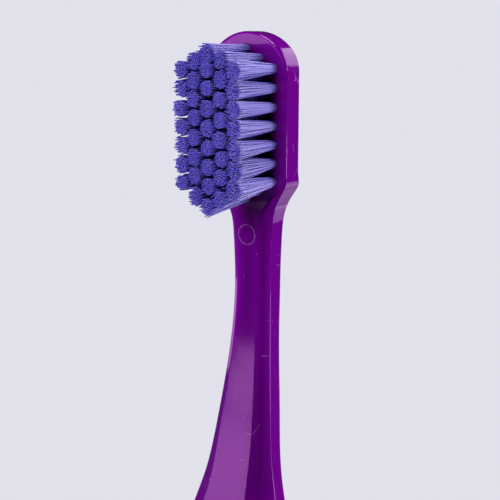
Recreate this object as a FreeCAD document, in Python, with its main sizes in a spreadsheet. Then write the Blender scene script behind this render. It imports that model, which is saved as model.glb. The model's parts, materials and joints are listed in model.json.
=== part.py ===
import FreeCAD, Part
import Sketcher
import math
import os

# Manual toothbrush: a one-piece moulded handle with a tufted head.
# Frame: +Z along the handle from the butt to the head, bristles towards -Y,
# origin at the centre of the flat butt end. All lengths are in millimetres.

# Driving dimensions: alias, value, meaning
SIZES = (
    ("total_length", 172.0, "butt end to the tip of the head"),
    ("tuft_pitch", 2.4, "distance between neighbouring tufts"),
    ("hole_diameter", 1.42, "blind tuft hole"),
    ("hole_depth", 3.2, "blind tuft hole, from the head's face"),
    ("side_margin", 1.4, "plastic beside the outer tuft holes"),
    ("tip_margin", 2.28, "tip of the head to the first tuft's axis"),
    ("shoulder_overlap", 3.1, "start of the shoulder above the last tuft's axis"),
    ("head_end_height", 5.2, "rise of the rounded end over the straight sides"),
    ("head_thickness", 4.4, "head plate, front to back"),
    ("head_setback", 2.5, "head's face behind the handle's axis"),
    ("face_bevel", 0.2, "edge break round the head's face"),
    ("back_bevel", 1.4, "bevel round the head's back"),
    ("shoulder_length", 6.7, "head plate to the top of the neck"),
    ("neck_length", 7.8, "top of the neck to the waist"),
    ("neck_width", 6.56, "top of the neck"),
    ("neck_thickness", 5.2, "top of the neck"),
    ("waist_width", 5.94, "narrowest section"),
    ("waist_thickness", 5.05, "narrowest section"),
    ("waist_bevel", 1.45, "corner facets of the neck"),
    ("waist_dip", 0.1, "waist's front behind the head's face"),
    ("flare_length", 41.0, "waist to the widest part of the grip"),
    ("grip_width", 16.4, "widest section"),
    ("grip_thickness", 11.5, "widest section"),
    ("grip_bevel", 3.7, "corner facets of the widest section"),
    ("butt_width", 11.5, "lower end"),
    ("butt_thickness", 8.6, "lower end"),
    ("butt_bevel", 2.7, "corner facets of the lower end"),
    ("butt_edge", 1.0, "bevel round the flat butt end"),
    ("tuft_length", 8.0, "head's face to the trimmed tuft tips"),
    ("tip_width", 2.1, "tuft across its flats at the trimmed tip"),
    ("fold_bevel", 0.25, "narrowed fold at the bottom of a tuft"),
    ("fold_height", 0.55, "folded filaments under the anchor"),
    ("anchor_width", 1.9, "metal anchor, across its hole"),
    ("anchor_height", 1.5, "metal anchor, along its hole"),
    ("anchor_thickness", 0.3, "metal anchor"),
    ("fit_clearance", 0.04, "between tuft, hole and anchor"),
)

# Tufts in each lengthwise column, from the column at -X to the one at +X
TUFT_COUNTS = {"a": 7, "b": 8, "c": 9, "d": 8, "e": 7}

# Flat sides of a tuft, so that its flats face its six neighbours
TUFT_SIDES = 12

# Corner radius of the rounded end, as a share of the end's height
END_CORNER_SHARE = 0.85

# Slack when edges are matched to a plane, as a share of the head's thickness
MATCH_SHARE = 1e-6

# Shoulder, from the head plate to the neck: along, width, front bevel, thickness
SHOULDER_SHARES = (
    (0.16, 0.09, 0.16, 0.70),
    (0.31, 0.33, 0.32, 1.05),
    (0.46, 0.59, 0.52, 1.00),
    (0.63, 0.80, 0.69, 0.98),
    (0.82, 0.925, 0.86, 1.00),
)

# Neck, from its top to the waist: along, width, thickness
NECK_SHARES = ((0.42, 0.65, 0.40),)

# Flare, from the waist to the grip: along, width, front, thickness, bevel
FLARE_SHARES = (
    (0.04, 0.00, 0.00, 0.00, -0.01),
    (0.15, 0.03, 0.03, -0.02, -0.02),
    (0.31, 0.13, 0.13, 0.03, 0.05),
    (0.50, 0.29, 0.30, 0.12, 0.15),
    (0.69, 0.57, 0.55, 0.39, 0.58),
    (0.85, 0.91, 0.85, 0.83, 0.94),
    (0.96, 1.00, 0.99, 0.99, 1.00),
)

# Taper, from the grip to the butt: along, all section sizes
TAPER_SHARES = ((0.16, 0.03), (0.48, 0.35), (0.78, 0.74))


def make_sheet(doc):
    """Spreadsheet of the driving dimensions, one alias per row."""
    sheet = doc.addObject("Spreadsheet::Sheet", "Sizes")
    for row, (alias, value, meaning) in enumerate(SIZES, start=1):
        sheet.set(f"A{row}", alias)
        sheet.set(f"B{row}", str(value))
        sheet.set(f"C{row}", meaning)
        sheet.setAlias(f"B{row}", alias)
    doc.recompute()


def cell(alias):
    """Expression that reads one driving dimension."""
    return f"Sizes.{alias}"


def between(start, end, share):
    """Expression of the value at a share of the way from start to end."""
    return f"({start}) + {share} * (({end}) - ({start}))"


# Derived sizes, written once as expressions
COLUMNS = list(TUFT_COUNTS)
MOST_TUFTS = max(TUFT_COUNTS.values())
COLUMN_PITCH = f"{cell('tuft_pitch')} * sqrt(3) / 2"
OUTER_COLUMN = f"({len(COLUMNS)} - 1) / 2 * {COLUMN_PITCH}"
HEAD_HALF_WIDTH = f"({OUTER_COLUMN} + {cell('hole_diameter')} / 2 + {cell('side_margin')})"
FIRST_TUFT = f"({cell('total_length')} - {cell('tip_margin')})"
LAST_TUFT = f"({FIRST_TUFT} - ({MOST_TUFTS} - 1) * {cell('tuft_pitch')})"
HEAD_BASE = f"({LAST_TUFT} + {cell('shoulder_overlap')})"
NECK_TOP = f"({HEAD_BASE} - {cell('shoulder_length')})"
WAIST = f"({NECK_TOP} - {cell('neck_length')})"
GRIP = f"({WAIST} - {cell('flare_length')})"
WAIST_FRONT = f"({cell('head_setback')} + {cell('waist_dip')})"
TUFT_RADIUS = f"({cell('hole_diameter')} / 2 - {cell('fit_clearance')})"
TUFT_BOTTOM = f"({cell('hole_depth')} - {cell('fit_clearance')})"
ANCHOR_BOTTOM = f"({TUFT_BOTTOM} - {cell('fold_height')})"
ROOT_WIDTH = f"2 * {TUFT_RADIUS} * cos(180 deg / {TUFT_SIDES})"
FLARE_ANGLE = f"atan(({cell('tip_width')} - {ROOT_WIDTH}) / 2 / {cell('tuft_length')})"


def column_x(column):
    """Expression of a column's place across the head."""
    steps = COLUMNS.index(column) - (len(COLUMNS) - 1) / 2
    return f"{steps} * {COLUMN_PITCH}"


def tuft_z(column, row):
    """Expression of a tuft's place along the head, row 0 at the tip."""
    steps = (MOST_TUFTS - TUFT_COUNTS[column]) / 2 + row
    return f"{FIRST_TUFT} - {steps} * {cell('tuft_pitch')}"


def origin_plane(body, role):
    """One of the body's own origin planes."""
    return next(item for item in body.Origin.OriginFeatures if item.Role == role)


def attach(sketch, body, role, offsets):
    """Put a sketch on an origin plane, moved by expressions in its own axes."""
    sketch.AttachmentSupport = [(origin_plane(body, role), "")]
    sketch.MapMode = "FlatFace"
    for axis, expression in offsets.items():
        sketch.setExpression(f"AttachmentOffset.Base.{axis}", expression)


def value_of(doc, expression):
    """Number that an expression gives, for a sketch's first drawing."""
    return float(doc.getObject("Sizes").evalExpression(expression))


def add_outline(sketch, points):
    """Closed chain of lines through the points, joined end to start."""
    vectors = [FreeCAD.Vector(x, y, 0) for x, y in points]
    lines = []
    for start, end in zip(vectors, vectors[1:] + vectors[:1]):
        lines.append(sketch.addGeometry(Part.LineSegment(start, end), False))
    for line, following in zip(lines, lines[1:] + lines[:1]):
        sketch.addConstraint(Sketcher.Constraint("Coincident", line, 2, following, 1))
    return lines


def dimension(sketch, name, constraint, expression):
    """Add a named dimension and bind it to an expression."""
    index = sketch.addConstraint(constraint)
    sketch.renameConstraint(index, name)
    sketch.setExpression(f"Constraints.{name}", expression)


def octagon(body, name, section):
    """Sketch of one eight-sided cross-section, its front facet on the sketch's X axis."""
    doc = body.Document
    sketch = body.newObject("Sketcher::SketchObject", name)
    attach(sketch, body, "XY_Plane", {"y": section["front"], "z": section["height"]})
    half = value_of(doc, section["half_width"])
    depth = value_of(doc, section["thickness"])
    front = value_of(doc, section["front_bevel"])
    back = value_of(doc, section["back_bevel"])
    right = [(half - front, 0), (half, front), (half, depth - back), (half - back, depth)]
    left = [(-x, y) for x, y in reversed(right)]
    lines = add_outline(sketch, right + left)
    # Corners 0 to 3 run up the right side, 4 to 7 down the left
    for corner in range(4):
        sketch.addConstraint(
            Sketcher.Constraint("Symmetric", lines[corner], 1, lines[7 - corner], 1, -2)
        )
    sketch.addConstraint(Sketcher.Constraint("PointOnObject", lines[0], 1, -1))
    sketch.addConstraint(Sketcher.Constraint("Vertical", lines[1]))
    widest = Sketcher.Constraint("DistanceX", -1, 1, lines[1], 1, half)
    dimension(sketch, "half_width", widest, section["half_width"])
    deepest = Sketcher.Constraint("DistanceY", -1, 1, lines[3], 1, depth)
    dimension(sketch, "thickness", deepest, section["thickness"])
    front_across = Sketcher.Constraint("DistanceX", lines[0], 1, lines[1], 1, front)
    dimension(sketch, "front_bevel_across", front_across, section["front_bevel"])
    front_along = Sketcher.Constraint("DistanceY", lines[0], 1, lines[1], 1, front)
    dimension(sketch, "front_bevel_deep", front_along, section["front_bevel"])
    back_across = Sketcher.Constraint("DistanceX", lines[3], 1, lines[2], 1, back)
    dimension(sketch, "back_bevel_across", back_across, section["back_bevel"])
    back_along = Sketcher.Constraint("DistanceY", lines[2], 1, lines[3], 1, back)
    dimension(sketch, "back_bevel_deep", back_along, section["back_bevel"])
    return sketch


def mix(start, end, height, half_width, front, thickness, front_bevel, back_bevel):
    """Section between two sections, with one share for each of its sizes."""
    shares = {
        "height": height,
        "half_width": half_width,
        "front": front,
        "thickness": thickness,
        "front_bevel": front_bevel,
        "back_bevel": back_bevel,
    }
    return {key: between(start[key], end[key], share) for key, share in shares.items()}


def handle_sections():
    """Cross-sections of the handle at the named places."""
    head = {
        "height": HEAD_BASE,
        "half_width": HEAD_HALF_WIDTH,
        "front": cell("head_setback"),
        "thickness": cell("head_thickness"),
        "front_bevel": cell("face_bevel"),
        "back_bevel": cell("back_bevel"),
    }
    neck = {
        "height": NECK_TOP,
        "half_width": f"{cell('neck_width')} / 2",
        "front": cell("head_setback"),
        "thickness": cell("neck_thickness"),
        "front_bevel": cell("waist_bevel"),
        "back_bevel": cell("waist_bevel"),
    }
    waist = {
        "height": WAIST,
        "half_width": f"{cell('waist_width')} / 2",
        "front": WAIST_FRONT,
        "thickness": cell("waist_thickness"),
        "front_bevel": cell("waist_bevel"),
        "back_bevel": cell("waist_bevel"),
    }
    grip = {
        "height": GRIP,
        "half_width": f"{cell('grip_width')} / 2",
        "front": f"-{cell('grip_thickness')} / 2",
        "thickness": cell("grip_thickness"),
        "front_bevel": cell("grip_bevel"),
        "back_bevel": cell("grip_bevel"),
    }
    butt = {
        "height": cell("butt_edge"),
        "half_width": f"{cell('butt_width')} / 2",
        "front": f"-{cell('butt_thickness')} / 2",
        "thickness": cell("butt_thickness"),
        "front_bevel": cell("butt_bevel"),
        "back_bevel": cell("butt_bevel"),
    }
    # The flat end is smaller than the butt by the bevel on every side
    end = {
        "height": "0",
        "half_width": f"{butt['half_width']} - {cell('butt_edge')}",
        "front": f"{butt['front']} + {cell('butt_edge')}",
        "thickness": f"{cell('butt_thickness')} - 2 * {cell('butt_edge')}",
        "front_bevel": f"{cell('butt_bevel')} - (2 - sqrt(2)) * {cell('butt_edge')}",
        "back_bevel": f"{cell('butt_bevel')} - (2 - sqrt(2)) * {cell('butt_edge')}",
    }
    return {"head": head, "neck": neck, "waist": waist, "grip": grip, "butt": butt, "end": end}


def loft(body, name, sections, ruled):
    """Solid through the cross-sections, added to the body."""
    sketches = []
    for number, section in enumerate(sections, start=1):
        sketches.append(octagon(body, f"{name}_section_{number}", section))
    body.Document.recompute()
    feature = body.newObject("PartDesign::AdditiveLoft", name)
    feature.Profile = sketches[0]
    feature.Sections = sketches[1:]
    feature.Ruled = ruled
    body.Document.recompute()


def shoulder_sections(named):
    """Cross-sections from the head plate to the neck."""
    head, neck = named["head"], named["neck"]
    sections = [head]
    for along, width, bevel, thickness in SHOULDER_SHARES:
        sections.append(mix(head, neck, along, width, along, thickness, bevel, along))
    sections.append(neck)
    return sections


def neck_sections(named):
    """Cross-sections from the top of the neck to the waist."""
    neck, waist = named["neck"], named["waist"]
    sections = [neck]
    for along, width, thickness in NECK_SHARES:
        sections.append(mix(neck, waist, along, width, along, thickness, along, along))
    sections.append(waist)
    return sections


def flare_sections(named):
    """Cross-sections from the waist to the widest part of the grip."""
    waist, grip = named["waist"], named["grip"]
    sections = [waist]
    for along, width, front, thickness, bevel in FLARE_SHARES:
        sections.append(mix(waist, grip, along, width, front, thickness, bevel, bevel))
    sections.append(grip)
    return sections


def grip_sections(named):
    """Cross-sections from the widest part of the grip to the butt."""
    grip, butt = named["grip"], named["butt"]
    sections = [grip]
    for along, share in TAPER_SHARES:
        sections.append(mix(grip, butt, along, share, share, share, share, share))
    sections.append(butt)
    return sections


def head_outline(body):
    """Sketch of the head plate's front outline: straight sides and a rounded end."""
    doc = body.Document
    sketch = body.newObject("Sketcher::SketchObject", "head_outline")
    attach(sketch, body, "XZ_Plane", {"y": HEAD_BASE, "z": f"-{cell('head_setback')}"})
    height_rule = f"{cell('total_length')} - {HEAD_BASE}"
    corner_rule = f"{END_CORNER_SHARE} * {cell('head_end_height')}"
    half = value_of(doc, HEAD_HALF_WIDTH)
    height = value_of(doc, height_rule)
    rise = value_of(doc, cell("head_end_height"))
    corner = value_of(doc, corner_rule)
    # The end arc's centre lies on the middle line, below the corner arcs' centres
    drop = ((half - corner) ** 2 - (rise - corner) ** 2) / (2 * (rise - corner))
    side = height - rise
    radius = rise + drop
    lean = math.atan2(drop, half - corner)
    normal = FreeCAD.Vector(0, 0, 1)
    right_centre = FreeCAD.Vector(half - corner, side, 0)
    left_centre = FreeCAD.Vector(corner - half, side, 0)
    end_centre = FreeCAD.Vector(0, side - drop, 0)
    corners = [(-half, 0), (half, 0), (half, side), (-half, side)]
    low_left, low_right, top_right, top_left = [FreeCAD.Vector(x, y, 0) for x, y in corners]
    base = sketch.addGeometry(Part.LineSegment(low_left, low_right), False)
    right = sketch.addGeometry(Part.LineSegment(low_right, top_right), False)
    right_circle = Part.Circle(right_centre, normal, corner)
    right_arc = sketch.addGeometry(Part.ArcOfCircle(right_circle, 0, lean), False)
    end_circle = Part.Circle(end_centre, normal, radius)
    end_arc = sketch.addGeometry(Part.ArcOfCircle(end_circle, lean, math.pi - lean), False)
    left_circle = Part.Circle(left_centre, normal, corner)
    left_arc = sketch.addGeometry(Part.ArcOfCircle(left_circle, math.pi - lean, math.pi), False)
    left = sketch.addGeometry(Part.LineSegment(top_left, low_left), False)
    tip = sketch.addGeometry(Part.Point(FreeCAD.Vector(0, height, 0)), True)
    sketch.addConstraint(
        [
            Sketcher.Constraint("Coincident", base, 2, right, 1),
            Sketcher.Constraint("Tangent", right, 2, right_arc, 1),
            Sketcher.Constraint("Tangent", right_arc, 2, end_arc, 1),
            Sketcher.Constraint("Tangent", end_arc, 2, left_arc, 1),
            Sketcher.Constraint("Tangent", left_arc, 2, left, 1),
            Sketcher.Constraint("Coincident", left, 2, base, 1),
            Sketcher.Constraint("Symmetric", base, 1, base, 2, -1, 1),
            Sketcher.Constraint("Vertical", right),
            Sketcher.Constraint("Symmetric", right_arc, 3, left_arc, 3, -2),
            Sketcher.Constraint("Equal", right_arc, left_arc),
            Sketcher.Constraint("PointOnObject", tip, 1, -2),
            Sketcher.Constraint("PointOnObject", tip, 1, end_arc),
        ]
    )
    widest = Sketcher.Constraint("DistanceX", -1, 1, right, 1, half)
    dimension(sketch, "half_width", widest, HEAD_HALF_WIDTH)
    straight = Sketcher.Constraint("DistanceY", right, 1, right, 2, side)
    dimension(sketch, "straight_side", straight, f"{height_rule} - {cell('head_end_height')}")
    dimension(sketch, "corner", Sketcher.Constraint("Radius", right_arc, corner), corner_rule)
    top = Sketcher.Constraint("DistanceY", -1, 1, tip, 1, height)
    dimension(sketch, "plate_height", top, height_rule)
    return sketch


def rim_edges(shape, depth, lowest, slack):
    """Names of the edges in the plane at this depth, without the one at the lowest level."""
    names = []
    for number, edge in enumerate(shape.Edges, start=1):
        box = edge.BoundBox
        flat = abs(box.YMin - depth) < slack and abs(box.YMax - depth) < slack
        if flat and box.ZMax > lowest + slack:
            names.append(f"Edge{number}")
    return names


def add_head_plate(body):
    """Head plate with its edge break and its bevelled back."""
    doc = body.Document
    outline = head_outline(body)
    doc.recompute()
    plate = body.newObject("PartDesign::Pad", "head_plate")
    plate.Profile = outline
    plate.Reversed = True
    plate.setExpression("Length", cell("head_thickness"))
    doc.recompute()
    face = value_of(doc, cell("head_setback"))
    back = value_of(doc, f"{cell('head_setback')} + {cell('head_thickness')}")
    base = value_of(doc, HEAD_BASE)
    slack = MATCH_SHARE * (back - face)
    tip_feature = plate
    for name, depth, size in (("face_edge", face, "face_bevel"), ("back_edge", back, "back_bevel")):
        chamfer = body.newObject("PartDesign::Chamfer", name)
        chamfer.Base = (tip_feature, rim_edges(tip_feature.Shape, depth, base, slack))
        chamfer.setExpression("Size", cell(size))
        doc.recompute()
        tip_feature = chamfer


def pocket(body, sketch, name, depth):
    """Blind pocket from the head's face, checked to remove material."""
    before = body.Shape.Volume
    cut = body.newObject("PartDesign::Pocket", name)
    cut.Profile = sketch
    cut.setExpression("Length", depth)
    body.Document.recompute()
    if not body.Shape.Volume < before:
        raise RuntimeError(f"{name} removes nothing")
    return cut


def add_tuft_holes(body, column):
    """One column of blind tuft holes, each with the slots its anchor bites into."""
    doc = body.Document
    place = {
        "x": column_x(column),
        "y": tuft_z(column, 0),
        "z": f"-{cell('head_setback')}",
    }
    ring = body.newObject("Sketcher::SketchObject", f"hole_outline_{column}")
    attach(ring, body, "XZ_Plane", place)
    radius = value_of(doc, f"{cell('hole_diameter')} / 2")
    circle = Part.Circle(FreeCAD.Vector(0, 0, 0), FreeCAD.Vector(0, 0, 1), radius)
    ring.addGeometry(circle, False)
    ring.addConstraint(Sketcher.Constraint("Coincident", 0, 3, -1, 1))
    rule = f"{cell('hole_diameter')} / 2"
    dimension(ring, "hole_radius", Sketcher.Constraint("Radius", 0, radius), rule)
    slot = body.newObject("Sketcher::SketchObject", f"slot_outline_{column}")
    attach(slot, body, "XZ_Plane", place)
    across = f"{cell('anchor_width')} + 2 * {cell('fit_clearance')}"
    along = f"{cell('anchor_thickness')} + 2 * {cell('fit_clearance')}"
    centred_rectangle(slot, across, along)
    doc.recompute()
    hole = pocket(body, ring, f"hole_{column}", cell("hole_depth"))
    groove = pocket(body, slot, f"slot_{column}", f"{ANCHOR_BOTTOM} + {cell('fit_clearance')}")
    pattern = body.newObject("PartDesign::LinearPattern", f"holes_{column}")
    pattern.Originals = [hole, groove]
    pattern.Direction = (ring, ["V_Axis"])
    pattern.Reversed = True
    pattern.Mode = "Spacing"
    pattern.Occurrences = TUFT_COUNTS[column]
    pattern.setExpression("Offset", cell("tuft_pitch"))
    body.Tip = pattern
    doc.recompute()


def centred_rectangle(sketch, width, height):
    """Rectangle about the sketch's origin, bound to two expressions."""
    doc = sketch.Document
    half_width = value_of(doc, width) / 2
    half_height = value_of(doc, height) / 2
    left, right = -half_width, half_width
    low, high = -half_height, half_height
    lines = add_outline(sketch, [(left, low), (right, low), (right, high), (left, high)])
    sketch.addConstraint(
        [
            Sketcher.Constraint("Horizontal", lines[0]),
            Sketcher.Constraint("Vertical", lines[1]),
            Sketcher.Constraint("Horizontal", lines[2]),
            Sketcher.Constraint("Vertical", lines[3]),
            Sketcher.Constraint("Symmetric", lines[0], 1, lines[2], 1, -1, 1),
        ]
    )
    across = Sketcher.Constraint("DistanceX", lines[0], 1, lines[0], 2, 2 * half_width)
    dimension(sketch, "across", across, width)
    along = Sketcher.Constraint("DistanceY", lines[1], 1, lines[1], 2, 2 * half_height)
    dimension(sketch, "along", along, height)


def make_handle(doc):
    """The moulded handle: head plate, shoulder, neck, grip and butt in one piece."""
    body = doc.addObject("PartDesign::Body", "handle")
    body.Label = "handle"
    named = handle_sections()
    add_head_plate(body)
    loft(body, "shoulder", shoulder_sections(named), False)
    loft(body, "neck", neck_sections(named), False)
    loft(body, "flare", flare_sections(named), False)
    loft(body, "grip", grip_sections(named), False)
    loft(body, "butt_end", [named["butt"], named["end"]], True)
    for column in COLUMNS:
        add_tuft_holes(body, column)
    return body


def regular_polygon(sketch, sides, radius):
    """Polygon about the sketch's origin with a flat at +X and its corners on a circle."""
    size = value_of(sketch.Document, radius)
    turn = 2 * math.pi / sides
    corners = []
    for number in range(sides):
        angle = (number - 0.5) * turn
        corners.append((size * math.cos(angle), size * math.sin(angle)))
    lines = add_outline(sketch, corners)
    circle = Part.Circle(FreeCAD.Vector(0, 0, 0), FreeCAD.Vector(0, 0, 1), size)
    rim = sketch.addGeometry(circle, True)
    sketch.addConstraint(Sketcher.Constraint("Coincident", rim, 3, -1, 1))
    sketch.addConstraint(Sketcher.Constraint("Vertical", lines[0]))
    for line in lines:
        sketch.addConstraint(Sketcher.Constraint("PointOnObject", line, 1, rim))
    for line in lines[1:]:
        sketch.addConstraint(Sketcher.Constraint("Equal", lines[0], line))
    dimension(sketch, "corner_radius", Sketcher.Constraint("Radius", rim, size), radius)


def make_tuft(doc, column, row):
    """One tuft: filaments folded round an anchor, flared from the hole to the tip."""
    name = f"tuft_{column}{row + 1}"
    body = doc.addObject("PartDesign::Body", name)
    body.Label = name
    outline = body.newObject("Sketcher::SketchObject", f"{name}_outline")
    attach(outline, body, "XZ_Plane", {})
    regular_polygon(outline, TUFT_SIDES, TUFT_RADIUS)
    doc.recompute()
    bristles = body.newObject("PartDesign::Pad", f"{name}_bristles")
    bristles.Profile = outline
    bristles.setExpression("Length", cell("tuft_length"))
    doc.recompute()
    add_flare(body, bristles)
    shank = body.newObject("PartDesign::Pad", f"{name}_shank")
    shank.Profile = outline
    shank.Reversed = True
    shank.setExpression("Length", TUFT_BOTTOM)
    doc.recompute()
    fold = body.newObject("PartDesign::Chamfer", f"{name}_fold")
    fold.Base = (shank, [deepest_face(shank.Shape)])
    fold.setExpression("Size", cell("fold_bevel"))
    doc.recompute()
    window = body.newObject("Sketcher::SketchObject", f"{name}_window")
    middle = f"{ANCHOR_BOTTOM} - {cell('anchor_height')} / 2"
    attach(window, body, "YZ_Plane", {"x": middle})
    deep = f"{cell('anchor_height')} + 2 * {cell('fit_clearance')}"
    thick = f"{cell('anchor_thickness')} + 2 * {cell('fit_clearance')}"
    centred_rectangle(window, deep, thick)
    doc.recompute()
    before = body.Shape.Volume
    gap = body.newObject("PartDesign::Pocket", f"{name}_gap")
    gap.Profile = window
    gap.Type = "ThroughAll"
    gap.SideType = "Symmetric"
    body.setExpression("Placement.Base.x", column_x(column))
    body.setExpression("Placement.Base.y", cell("head_setback"))
    body.setExpression("Placement.Base.z", tuft_z(column, row))
    doc.recompute()
    if not body.Shape.Volume < before:
        raise RuntimeError(f"{name} has no gap for its anchor")
    return body


def deepest_face(shape):
    """Name of the face that lies furthest back."""
    depths = [face.CenterOfMass.y for face in shape.Faces]
    return f"Face{depths.index(max(depths)) + 1}"


def add_flare(body, bristles):
    """Lean the sides of the bristles outwards, from the head's face to the trimmed tip."""
    ends = [deepest_face(bristles.Shape)]
    sides = []
    for number, face in enumerate(bristles.Shape.Faces, start=1):
        if len(face.Vertexes) < TUFT_SIDES:
            sides.append(f"Face{number}")
    flare = body.newObject("PartDesign::Draft", f"{body.Name}_flare")
    flare.Base = (bristles, sides)
    flare.NeutralPlane = (bristles, ends)
    flare.setExpression("Angle", FLARE_ANGLE)
    # The pull direction is only known after a first pass
    flare.recompute()
    body.Document.recompute()
    if not flare.Shape.Volume > bristles.Shape.Volume:
        raise RuntimeError(f"{body.Name} doesn't widen towards its tip")


def make_anchors(doc, column):
    """The metal anchors of one column: a flat plate upright in each hole."""
    plates = []
    for row in range(TUFT_COUNTS[column]):
        plate = doc.addObject("Part::Box", f"anchor_{column}{row + 1}")
        plate.setExpression("Length", cell("anchor_width"))
        plate.setExpression("Width", cell("anchor_height"))
        plate.setExpression("Height", cell("anchor_thickness"))
        across = f"{column_x(column)} - {cell('anchor_width')} / 2"
        depth = f"{cell('head_setback')} + {ANCHOR_BOTTOM} - {cell('anchor_height')}"
        level = f"{tuft_z(column, row)} - {cell('anchor_thickness')} / 2"
        plate.setExpression("Placement.Base.x", across)
        plate.setExpression("Placement.Base.y", depth)
        plate.setExpression("Placement.Base.z", level)
        plates.append(plate)
    group = doc.addObject("Part::Compound", f"anchors_{column}")
    group.Label = f"anchors_{column}"
    group.Links = plates
    doc.recompute()
    return group


def check_document(doc, parts):
    """Stop if any feature failed or any sub-part is empty or broken."""
    for item in doc.Objects:
        if "Invalid" in item.State or "Error" in item.State:
            raise RuntimeError(f"{item.Label} failed: {item.State}")
    for part in parts:
        if part.Shape.isNull() or not part.Shape.isValid():
            raise RuntimeError(f"{part.Label} is empty or not valid")


def main():
    doc = FreeCAD.newDocument("Toothbrush")
    make_sheet(doc)
    parts = [make_handle(doc)]
    for column, count in TUFT_COUNTS.items():
        for row in range(count):
            parts.append(make_tuft(doc, column, row))
        parts.append(make_anchors(doc, column))
    doc.recompute()
    check_document(doc, parts)
    os.makedirs("parts", exist_ok=True)
    for part in parts:
        part.Shape.exportStep(f"parts/{part.Label}.step")
        print(part.Label, len(part.Shape.Solids), round(part.Shape.Volume, 3))


main()
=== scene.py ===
import json
import math

import bpy
import numpy as np
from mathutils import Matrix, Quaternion, Vector
from mathutils.geometry import delaunay_2d_cdt

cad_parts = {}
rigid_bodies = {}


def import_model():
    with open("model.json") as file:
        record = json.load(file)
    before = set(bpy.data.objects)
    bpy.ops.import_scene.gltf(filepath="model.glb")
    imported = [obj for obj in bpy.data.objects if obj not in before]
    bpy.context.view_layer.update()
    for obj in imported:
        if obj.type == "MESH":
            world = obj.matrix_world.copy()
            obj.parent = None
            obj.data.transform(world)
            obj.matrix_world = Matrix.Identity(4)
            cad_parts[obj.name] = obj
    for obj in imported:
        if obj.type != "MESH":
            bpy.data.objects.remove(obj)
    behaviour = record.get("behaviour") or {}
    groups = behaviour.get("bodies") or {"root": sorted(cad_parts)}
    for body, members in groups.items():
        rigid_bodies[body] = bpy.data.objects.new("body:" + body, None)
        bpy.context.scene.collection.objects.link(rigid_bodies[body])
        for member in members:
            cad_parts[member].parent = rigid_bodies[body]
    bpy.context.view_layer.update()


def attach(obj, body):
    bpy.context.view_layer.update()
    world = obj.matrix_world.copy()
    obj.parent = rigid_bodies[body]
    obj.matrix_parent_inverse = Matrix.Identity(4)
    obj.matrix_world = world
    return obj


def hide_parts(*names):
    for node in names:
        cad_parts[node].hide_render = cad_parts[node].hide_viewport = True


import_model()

# Manual toothbrush: a moulded handle with 39 tufts of filaments in its head.
# Lengths are in millimetres, and the meshes in metres.

MM = 0.001

# Tuft field, from the column at -X to the one at +X
TUFT_COUNTS = {"a": 7, "b": 8, "c": 9, "d": 8, "e": 7}
MOST_TUFTS = max(TUFT_COUNTS.values())
TUFT_PITCH = 2.4
FIRST_TUFT_Z = 169.72
HOLE_RADIUS = 0.71
HOLE_BOTTOM_Y = 5.7
HOLE_SIDES = 32
HOLE_RIM = 0.06
HOLE_RIM_STEPS = 3
TIP_Y = -5.7

# Head plate, and the height from which its front face is cut out round the holes
HEAD_Y = 2.5
HEAD_HALF_WIDTH = 6.267
HEAD_TOP_Z = 172.0
HEAD_END_HEIGHT = 5.2
HEAD_CORNER_RADIUS = 4.42
LAST_CLEAR_Z = 147.4

# Handle cross-sections: height, half width, front, thickness, front bevel, back bevel
SECTIONS = (
    (166.8, 6.267, 2.50, 4.40, 0.20, 1.40),
    (153.62, 6.267, 2.50, 4.40, 0.20, 1.40),
    (152.55, 6.12, 2.50, 4.96, 0.40, 1.35),
    (151.54, 5.46, 2.50, 5.24, 0.60, 1.30),
    (150.54, 4.70, 2.50, 5.20, 0.85, 1.25),
    (149.40, 4.00, 2.50, 5.18, 1.06, 1.22),
    (148.13, 3.55, 2.50, 5.20, 1.28, 1.22),
    (146.92, 3.30, 2.50, 5.20, 1.43, 1.22),
    (143.64, 3.10, 2.52, 5.14, 1.46, 1.20),
    (139.12, 2.98, 2.59, 5.05, 1.45, 1.22),
    (137.48, 2.98, 2.59, 5.04, 1.43, 1.23),
    (132.97, 3.13, 2.35, 4.92, 1.42, 1.25),
    (126.41, 3.65, 1.52, 5.24, 1.55, 1.42),
    (122.12, 4.12, 0.78, 5.60, 1.67, 1.53),
    (118.12, 4.60, 0.04, 5.86, 1.82, 1.70),
    (114.12, 5.16, -0.90, 6.52, 2.20, 2.12),
    (111.12, 5.74, -1.72, 7.49, 2.70, 2.65),
    (107.62, 6.78, -2.98, 8.85, 3.33, 3.30),
    (103.80, 7.76, -4.35, 10.35, 3.60, 3.60),
    (99.76, 8.20, -5.60, 11.37, 3.70, 3.70),
    (98.12, 8.20, -5.75, 11.50, 3.70, 3.70),
    (82.58, 8.13, -5.71, 11.41, 3.67, 3.67),
    (51.50, 7.34, -5.24, 10.49, 3.35, 3.35),
    (22.37, 6.39, -4.68, 9.35, 2.96, 2.96),
    (1.0, 5.75, -4.30, 8.60, 2.70, 2.70),
    (0.0, 5.72, -4.28, 8.56, 2.69, 2.69),
)

# Blur over the cross-sections along the handle, which is wider below the neck
SECTION_STEP = 0.1
FINE_SMOOTHING = 0.5
SOFT_SMOOTHING = 2.2
SOFT_BELOW = (135.0, 141.0)

# Rounding of the moulded edges. The largest is a share of what fills the bevel
EDGE_RADIUS = 0.26
BACK_RADIUS = 0.2
FULL_ROUND = 1 + math.sqrt(0.5)
ROUND_SHARE = 0.99
ARC_STEPS = 5
END_ROUND_BEVEL = 0.25
BUTT_EDGE = 1.0
BUTT_ROUND = 0.35
BUTT_FLAT = 0.6

# Spacing of the mesh rings: from height, to height, step
RING_STEPS = ((2.5, 96.0, 1.5), (96.0, 142.0, 0.5), (142.0, 155.0, 0.2), (155.0, 166.8, 1.0))
END_ANGLE_STEP = 3.0

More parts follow.
